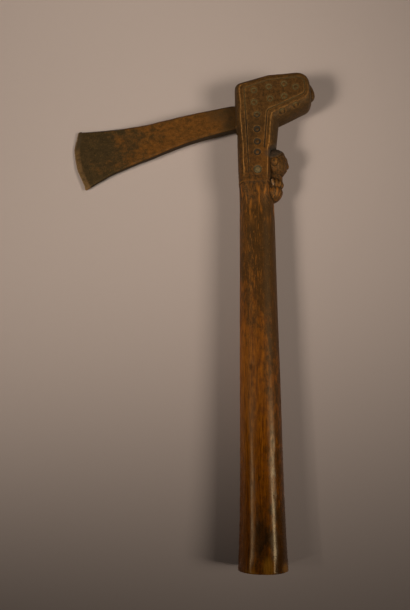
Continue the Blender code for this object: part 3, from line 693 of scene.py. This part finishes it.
def edge_share(points, width):
    """1 at the cutting edge, easing to 0 over a width behind it."""
    x, y, _ = points.T
    cells = (y - y.min()).astype(int)
    front = np.full(cells.max() + 1, np.inf)
    np.minimum.at(front, cells, x)
    middle = y.min() + 0.5 + np.arange(len(front))
    held = x < x.min() + 16
    good = (middle > y[held].min()) & (middle < y[held].max())
    line = np.interp(y, middle[good], front[good])
    return np.where(held, np.clip(1 - (x - line) / width, 0, 1), 0.0)


# Materials


class Finish:
    """A material's nodes, made in few words. Its colour is built up in coats."""

    def __init__(self, name):
        self.material = bpy.data.materials.new(name)
        self.material.use_nodes = True
        self.tree = self.material.node_tree
        self.shader = self.tree.nodes["Principled BSDF"]
        self.place = self.attribute("axe_mm", "Vector")
        self.colour = None

    def node(self, kind, **settings):
        made = self.tree.nodes.new("ShaderNode" + kind)
        for key, value in settings.items():
            setattr(made, key, value)
        return made

    def feed(self, socket, value):
        if isinstance(value, bpy.types.NodeSocket):
            self.tree.links.new(value, socket)
        elif isinstance(value, tuple) and len(value) == 3 and socket.type == "RGBA":
            socket.default_value = (*value, 1.0)
        else:
            socket.default_value = value

    def attribute(self, name, output="Fac"):
        return self.node("Attribute", attribute_name=name).outputs[output]

    def noise(self, size, detail=3.0, stretch=(1, 1, 1), roughness=0.55, twist=0.0):
        """Values round a half that change over size millimetres, longer along stretched axes."""
        mapping = self.node("Mapping")
        self.feed(mapping.inputs["Vector"], self.place)
        mapping.inputs["Scale"].default_value = [1 / (size * k) for k in stretch]
        made = self.node("TexNoise")
        self.feed(made.inputs["Vector"], mapping.outputs["Vector"])
        made.inputs["Scale"].default_value = 1.0
        made.inputs["Detail"].default_value = detail
        made.inputs["Roughness"].default_value = roughness
        made.inputs["Distortion"].default_value = twist
        return made.outputs["Fac"]

    def ramp(self, value, low, high, first=0.0, last=1.0):
        """Eases from first to last while the value goes from low to high."""
        made = self.node("MapRange", interpolation_type="SMOOTHSTEP")
        for key, setting in (
            ("Value", value),
            ("From Min", low),
            ("From Max", high),
            ("To Min", first),
            ("To Max", last),
        ):
            self.feed(made.inputs[key], setting)
        return made.outputs["Result"]

    def math(self, operation, first, second):
        made = self.node("Math", operation=operation)
        self.feed(made.inputs[0], first)
        self.feed(made.inputs[1], second)
        return made.outputs[0]

    def product(self, *values):
        result = values[0]
        for value in values[1:]:
            result = self.math("MULTIPLY", result, value)
        return result

    def total(self, *values):
        result = values[0]
        for value in values[1:]:
            result = self.math("ADD", result, value)
        return result

    def swing(self, value, gain, middle=0.5):
        """How far the value is above its middle, times a gain."""
        return self.product(self.math("SUBTRACT", value, middle), gain)

    def mix(self, share, first, second):
        made = self.node("Mix", data_type="RGBA")
        self.feed(made.inputs["Factor"], share)
        self.feed(made.inputs["A"], first)
        self.feed(made.inputs["B"], second)
        return made.outputs["Result"]

    def coat(self, share, tint):
        """Lays a tint over a share of the colour so far."""
        self.colour = self.mix(share, self.colour, tint)

    def set(self, name, value):
        self.feed(self.shader.inputs[name], value)

    def bump(self, height, distance):
        made = self.node("Bump")
        made.inputs["Strength"].default_value = BUMP_STRENGTH
        made.inputs["Distance"].default_value = distance
        self.feed(made.inputs["Height"], height)
        self.feed(self.shader.inputs["Normal"], made.outputs["Normal"])


class Wood(Finish):
    """Dark hardwood: grain along the handle, hand polish, worn edges and dirt in the carving."""

    # Linear red, green and blue, from the grain's dark to its light where there are two
    AMBER = (0.118, 0.0290, 0.0007), (0.345, 0.0980, 0.0022)
    RUSSET = (0.072, 0.0155, 0.0006), (0.215, 0.0500, 0.0014)
    BROWN = (0.056, 0.0185, 0.0020), (0.190, 0.0620, 0.0050)
    CARVED = (0.023, 0.0110, 0.0030), (0.108, 0.0425, 0.0088)
    PIT_DUST = (0.032, 0.0280, 0.0200), (0.150, 0.0980, 0.0320)
    # painted light, lightening the grip's blade side
    PAINTED_LIGHT = (0.420, 0.1280, 0.0030)
    PATINA = (0.040, 0.0150, 0.0022)
    # painted shade on the head's rounded sides
    FLANK_SHADE = (0.016, 0.0100, 0.0030)
    NECK = (0.026, 0.0105, 0.0026)
    NECK_LIGHT = (0.150, 0.0460, 0.0045)
    WARM = (0.165, 0.0540, 0.0055)
    PORES = (0.024, 0.0085, 0.0016)
    FLECKS = (0.235, 0.0980, 0.0150)
    SPECKS = (0.022, 0.0120, 0.0028)
    THREADS = (0.310, 0.0980, 0.0080)
    STREAKS = (0.340, 0.1050, 0.0080)
    WORN = (0.290, 0.1120, 0.0120)
    # pale worn edges, on the butt's ridges partly a painted highlight
    EDGE_WEAR_AND_HIGHLIGHT = (0.560, 0.2400, 0.0500)
    DARK = (0.020, 0.0100, 0.0030)
    OCHRE = (0.340, 0.1300, 0.0090)
    GRIME = (0.028, 0.0140, 0.0055)
    CAP = (0.042, 0.0350, 0.0280)
    # pale dust on the stud, with a painted glint
    STUD_DUST_AND_GLINT = (0.150, 0.1120, 0.0500)
    # painted highlight along the strap
    STRAP_HIGHLIGHT = (0.420, 0.3000, 0.1900)

    def __init__(self):
        super().__init__("carved_wood")
        split = self.node("SeparateXYZ")
        self.feed(split.inputs[0], self.place)
        self.up = split.outputs["Y"]
        self.side = self.attribute("side")
        self.head = self.attribute("head")
        self.dirt = self.attribute("dirt")
        self.grain = self.noise(1.0, 5.0, (1, 14, 1), 0.62, 0.5)
        self.hair = self.noise(0.42, 3.0, (1, 12, 1), 0.6)
        self.cloud = self.noise(13.0, 5.0, (1, 2.0, 1), 0.62)
        self.spots = self.noise(3.0, 5.0, (1, 2.0, 1), 0.65)
        self.mottle = self.noise(2.0, 6.0, (1, 1.3, 1), 0.68)
        self.crumbs = self.noise(0.8, 4.0, (1, 1.6, 1), 0.62)
        self.colour_grip()
        self.cover_grip()
        self.colour_head()
        self.speckle()
        self.lighten_fibres()
        self.wear_edges_and_highlight()
        self.soil_and_highlights()
        self.set("Base Color", self.colour)
        self.polish()

    def colour_grip(self):
        """Amber and russet grain low on the grip, brown above, and painted light on its blade side.
        """
        grained = self.ramp(self.grain, 0.26, 0.74)
        amber = self.mix(grained, *self.AMBER)
        russet = self.mix(grained, *self.RUSSET)
        self.colour = self.mix(grained, *self.BROWN)
        lift = self.swing(self.cloud, 1.3)
        polished = self.ramp(self.total(self.ramp(self.up, 262.0, 170.0), lift), 0.1, 0.9)
        self.coat(polished, self.mix(self.ramp(self.spots, 0.40, 0.64, 0.0, 0.75), amber, russet))
        # painted light: a lighter amber on the blade side of the grip, low and halfway up
        painted_light = self.product(
            self.ramp(self.side, 0.42, 0.12),
            self.ramp(self.up, 60.0, 95.0),
            self.ramp(self.up, 210.0, 165.0),
            self.ramp(self.grain, 0.35, 0.65),
            0.55,
        )
        self.coat(painted_light, self.PAINTED_LIGHT)

    def cover_grip(self):
        """Dark patina in patches, thicker on the beak's side, up the grip and at its foot."""
        shade = self.swing(self.side, self.ramp(self.up, 235.0, 130.0, 0.6, 1.2), 0.48)
        upward = self.ramp(self.up, 130.0, 215.0, -0.05, 0.68)
        base = self.ramp(self.up, 70.0, 20.0, 0.0, 0.42)
        patches = self.swing(self.noise(5.5, 8.0, (1, 1.9, 1), 0.76), 3.4)
        covered = self.ramp(self.total(shade, upward, base, patches), 0.0, 0.75, 0.0, 0.86)
        self.coat(self.product(covered, self.ramp(self.head, 0.0, 1.0, 1.0, 0.0)), self.PATINA)

    def colour_head(self):
        """The carved head with painted shade on its flanks, darker on its neck, and a lighter
        stretch between.
        """
        carved = self.mix(self.ramp(self.mottle, 0.34, 0.66), *self.CARVED)
        self.coat(self.product(self.head, 0.88), carved)
        # painted shade over the head's rounded sides
        self.coat(self.product(self.attribute("flank_shade"), 0.40), self.FLANK_SHADE)
        neck = self.product(self.ramp(self.up, 356.0, 346.0), self.head)
        self.coat(self.product(neck, 0.45), self.NECK)
        light = self.product(self.ramp(self.up, 345.0, 310.0), self.ramp(self.mottle, 0.40, 0.60))
        self.coat(self.product(light, self.head, 0.62), self.NECK_LIGHT)
        glow = self.ramp(self.spots, 0.35, 0.62, 0.25, 0.75)
        self.coat(self.product(self.attribute("warm"), glow), self.WARM)

    def speckle(self):
        """Dark pores along the grain, pale flecks and dark specks."""
        pores = self.ramp(self.head, 0.0, 1.0, 0.42, 0.15)
        self.coat(self.product(self.ramp(self.hair, 0.56, 0.74), pores), self.PORES)
        flecks = self.ramp(self.up, 130.0, 230.0, 0.15, 0.55)
        self.coat(self.product(self.ramp(self.crumbs, 0.56, 0.74), flecks), self.FLECKS)
        specks = self.ramp(self.head, 0.0, 1.0, 0.35, 0.60)
        self.coat(self.product(self.ramp(self.crumbs, 0.44, 0.26), specks), self.SPECKS)

    def lighten_fibres(self):
        """Pale threads on the grip's blade side, and pale streaks where the grip meets the neck."""
        threads = self.product(
            self.ramp(self.noise(0.9, 4.0, (1, 7, 1)), 0.54, 0.68),
            self.ramp(self.up, 150.0, 215.0),
            self.ramp(self.head, 0.5, 0.0),
            self.ramp(self.side, 0.66, 0.42, 0.15, 0.75),
        )
        self.coat(threads, self.THREADS)
        streaks = self.ramp(self.noise(2.0, 3.0, (1, 9, 1)), 0.52, 0.68)
        above = self.product(self.ramp(self.up, 258.0, 283.0), self.ramp(self.up, 303.0, 293.0))
        self.coat(self.product(streaks, above, 0.85), self.STREAKS)

    def wear_edges_and_highlight(self):
        """Pale worn edges, and broken pale lines along the panels' edges and the butt's ridges; on
        the butt's ridges the lines are partly a painted highlight.
        """
        worn = self.product(self.attribute("wear"), self.ramp(self.spots, 0.62, 0.40, 0.35, 0.8))
        self.coat(self.math("MINIMUM", worn, 1.0), self.WORN)
        broken = self.ramp(self.noise(2.6, 3.0), 0.34, 0.52, 0.25, 1.0)
        # pale worn lines, on the butt's ridges partly a painted highlight
        self.coat(self.product(self.attribute("edge"), broken, 0.92), self.EDGE_WEAR_AND_HIGHLIGHT)

    def soil_and_highlights(self):
        """Stains, dirt in the hollows, the bust's grey cap and dust in the pits; dust and a painted
        glint on the stud, and a painted highlight along the strap.
        """
        dark = self.product(self.attribute("dark"), self.ramp(self.cloud, 0.2, 0.6, 0.5, 0.8))
        self.coat(dark, self.DARK)
        ochre = self.product(self.attribute("ochre"), self.ramp(self.grain, 0.3, 0.55, 0.4, 0.95))
        self.coat(ochre, self.OCHRE)
        grime = self.product(self.dirt, self.ramp(self.spots, 0.25, 0.55, 0.55, 1.0))
        self.coat(self.math("MINIMUM", grime, 0.85), self.GRIME)
        self.coat(self.product(self.attribute("cap"), 0.6), self.CAP)
        dust_and_glint = self.product(self.attribute("pit"), self.ramp(self.crumbs, 0.35, 0.62, 0.40, 0.85))
        self.coat(dust_and_glint, self.mix(self.ramp(self.up, 352.0, 362.0), *self.PIT_DUST))
        # pale dust on the stud, partly a painted glint
        dust_and_glint = self.product(self.attribute("stud"), self.ramp(self.crumbs, 0.30, 0.60, 0.35, 0.85))
        self.coat(dust_and_glint, self.STUD_DUST_AND_GLINT)
        # painted highlight along the bust's strap
        self.coat(self.product(self.attribute("strap"), 0.75), self.STRAP_HIGHLIGHT)

    def polish(self):
        """Gloss on the low half of the grip, and the fine relief of grain and carving."""
        roughness = self.total(
            self.ramp(self.up, 150.0, 80.0, 0.52, 0.25),
            self.swing(self.grain, 0.12),
            self.product(self.dirt, 0.28),
            self.product(self.head, 0.10),
            self.product(self.ramp(self.spots, 0.45, 0.7), 0.12),
        )
        self.set("Roughness", roughness)
        self.set("Specular IOR Level", 0.42)
        self.set("Specular Tint", GLOSS_TINT)
        fibres = self.total(self.product(self.grain, 0.5), self.product(self.hair, 0.25))
        relief = self.total(
            self.product(fibres, self.ramp(self.up, 180.0, 90.0, 1.0, 0.24)),
            self.product(self.mottle, 0.8, self.head),
        )
        self.bump(relief, WOOD_RELIEF)


class Iron(Finish):
    """Forged iron: dark towards the edge, brown rust towards the handle, a rubbed bevel, and
    painted shade on its narrow sides.
    """

    # Linear red, green and blue, from dark to light where there are two
    BLACKENED = (0.030, 0.0190, 0.0072), (0.062, 0.0350, 0.0120)
    RUST = (0.066, 0.0262, 0.0056), (0.172, 0.0600, 0.0092)
    GROUND = (0.060, 0.0375, 0.0165), (0.150, 0.0760, 0.0260)
    PALE_SPECKS = (0.210, 0.1050, 0.0200)
    DARK_SPECKS = (0.022, 0.0140, 0.0060)
    GRIME = (0.020, 0.0120, 0.0060)
    WORN = (0.150, 0.0860, 0.0400)
    HONED = (0.200, 0.1150, 0.0450)
    # painted shade on the blade's narrow sides
    RIM_SHADE = (0.016, 0.0105, 0.0050)
    ROOT = (0.040, 0.0240, 0.0095)

    def __init__(self):
        super().__init__("forged_iron")
        edge = self.attribute("edge")
        dirt = self.attribute("dirt")
        cloud = self.noise(17.0, 5.0, (1, 0.8, 1), 0.6)
        blotch = self.noise(4.2, 6.0, (1, 0.8, 1), 0.65)
        speck = self.noise(0.9, 4.0, (1, 1, 1), 0.6)

        drift = self.total(self.product(cloud, 0.60), self.product(blotch, 0.50), -0.55)
        inward = self.math("ADD", self.attribute("reach"), drift)
        rusty = self.ramp(inward, 0.17, 0.56)
        self.colour = self.mix(self.ramp(blotch, 0.32, 0.68), *self.BLACKENED)
        self.coat(rusty, self.mix(self.ramp(blotch, 0.30, 0.70), *self.RUST))
        self.coat(self.ramp(speck, 0.54, 0.74, 0.0, 0.55), self.PALE_SPECKS)
        self.coat(self.ramp(speck, 0.46, 0.28, 0.0, 0.65), self.DARK_SPECKS)
        self.coat(self.product(dirt, 0.45), self.GRIME)
        self.coat(self.product(self.attribute("wear"), 0.22), self.WORN)
        bevel = self.product(self.ramp(edge, 0.0, 0.45), self.ramp(blotch, 0.30, 0.62, 0.25, 0.95))
        self.coat(bevel, self.mix(self.ramp(self.attribute("low"), 0.0, 1.0), *self.GROUND))
        self.coat(self.product(self.ramp(edge, 0.72, 0.95), 0.7), self.HONED)
        # painted shade on the blade's narrow sides
        self.coat(self.product(self.attribute("rim_shade"), 0.90), self.RIM_SHADE)
        self.coat(self.product(self.ramp(inward, 0.82, 1.00), 0.7), self.ROOT)
        self.set("Base Color", self.colour)

        self.set("Metallic", 0.0)
        roughness = self.total(
            self.ramp(rusty, 0.0, 1.0, 0.50, 0.62),
            self.swing(blotch, 0.3),
            self.product(dirt, 0.15),
        )
        self.set("Roughness", roughness)
        self.set("Specular IOR Level", 0.20)
        self.set("Specular Tint", GLOSS_TINT)
        relief = self.total(self.product(blotch, 0.8), self.product(speck, 0.35))
        self.bump(relief, IRON_RELIEF)


def floor_paper():
    finish = bpy.data.materials.new("floor_paper")
    finish.use_nodes = True
    shader = finish.node_tree.nodes["Principled BSDF"]
    shader.inputs["Base Color"].default_value = (*FLOOR_COLOUR, 1.0)
    shader.inputs["Roughness"].default_value = 0.85
    shader.inputs["Specular IOR Level"].default_value = 0.2
    return finish


# The studio


def add_floor():
    mesh = bpy.data.meshes.new("floor")
    half = FLOOR_HALF
    corners = [(-half, -half, 0), (half, -half, 0), (half, half, 0), (-half, half, 0)]
    mesh.from_pydata(corners, [], [(0, 1, 2, 3)])
    mesh.materials.append(floor_paper())
    floor = bpy.data.objects.new("floor", mesh)
    bpy.context.scene.collection.objects.link(floor)


def add_camera():
    data = bpy.data.cameras.new("camera")
    data.sensor_fit = "VERTICAL"
    data.sensor_height = SENSOR
    data.lens = SENSOR * LENS_PIXELS / FRAME_HEIGHT
    camera = bpy.data.objects.new("camera", data)
    bpy.context.scene.collection.objects.link(camera)
    camera.location = (
        ORIGIN[0] + CAMERA_FROM_BUTT[0],
        ORIGIN[1] + CAMERA_FROM_BUTT[1],
        CAMERA_HEIGHT,
    )
    camera.rotation_euler = (CAMERA_TILT, 0, 0)
    bpy.context.scene.camera = camera


def add_softbox(name, place, aim, size, spread, power):
    data = bpy.data.lights.new(name, "AREA")
    data.shape = "RECTANGLE"
    data.size, data.size_y = size
    data.spread = math.radians(spread)
    data.energy = power
    data.color = LIGHT_COLOUR
    light = bpy.data.objects.new(name, data)
    light.location = place
    away = (Vector(place) - Vector(aim)).normalized()
    upward = (Vector((0, 1, 0)) - away * away.y).normalized()
    turn = Matrix((upward.cross(away), upward, away)).transposed()
    light.rotation_euler = turn.to_euler()
    bpy.context.scene.collection.objects.link(light)


def add_lights():
    for softbox in SOFTBOXES:
        add_softbox(*softbox)
    world = bpy.data.worlds.new("room")
    world.use_nodes = True
    background = world.node_tree.nodes["Background"]
    background.inputs["Color"].default_value = (*ROOM_COLOUR, 1.0)
    background.inputs["Strength"].default_value = ROOM_STRENGTH
    bpy.context.scene.world = world


def dress():
    skin, masks = carve_handle()
    handle = piece_from(skin, "handle_carved", masks, Wood().material)
    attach(handle, "root")
    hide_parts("handle")

    skin, masks = forge_blade()
    blade = piece_from(skin, "blade_forged", masks, Iron().material)
    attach(blade, "root")
    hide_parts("blade")


dress()
add_floor()
add_camera()
add_lights()
bpy.context.scene.view_settings.view_transform = "Standard"
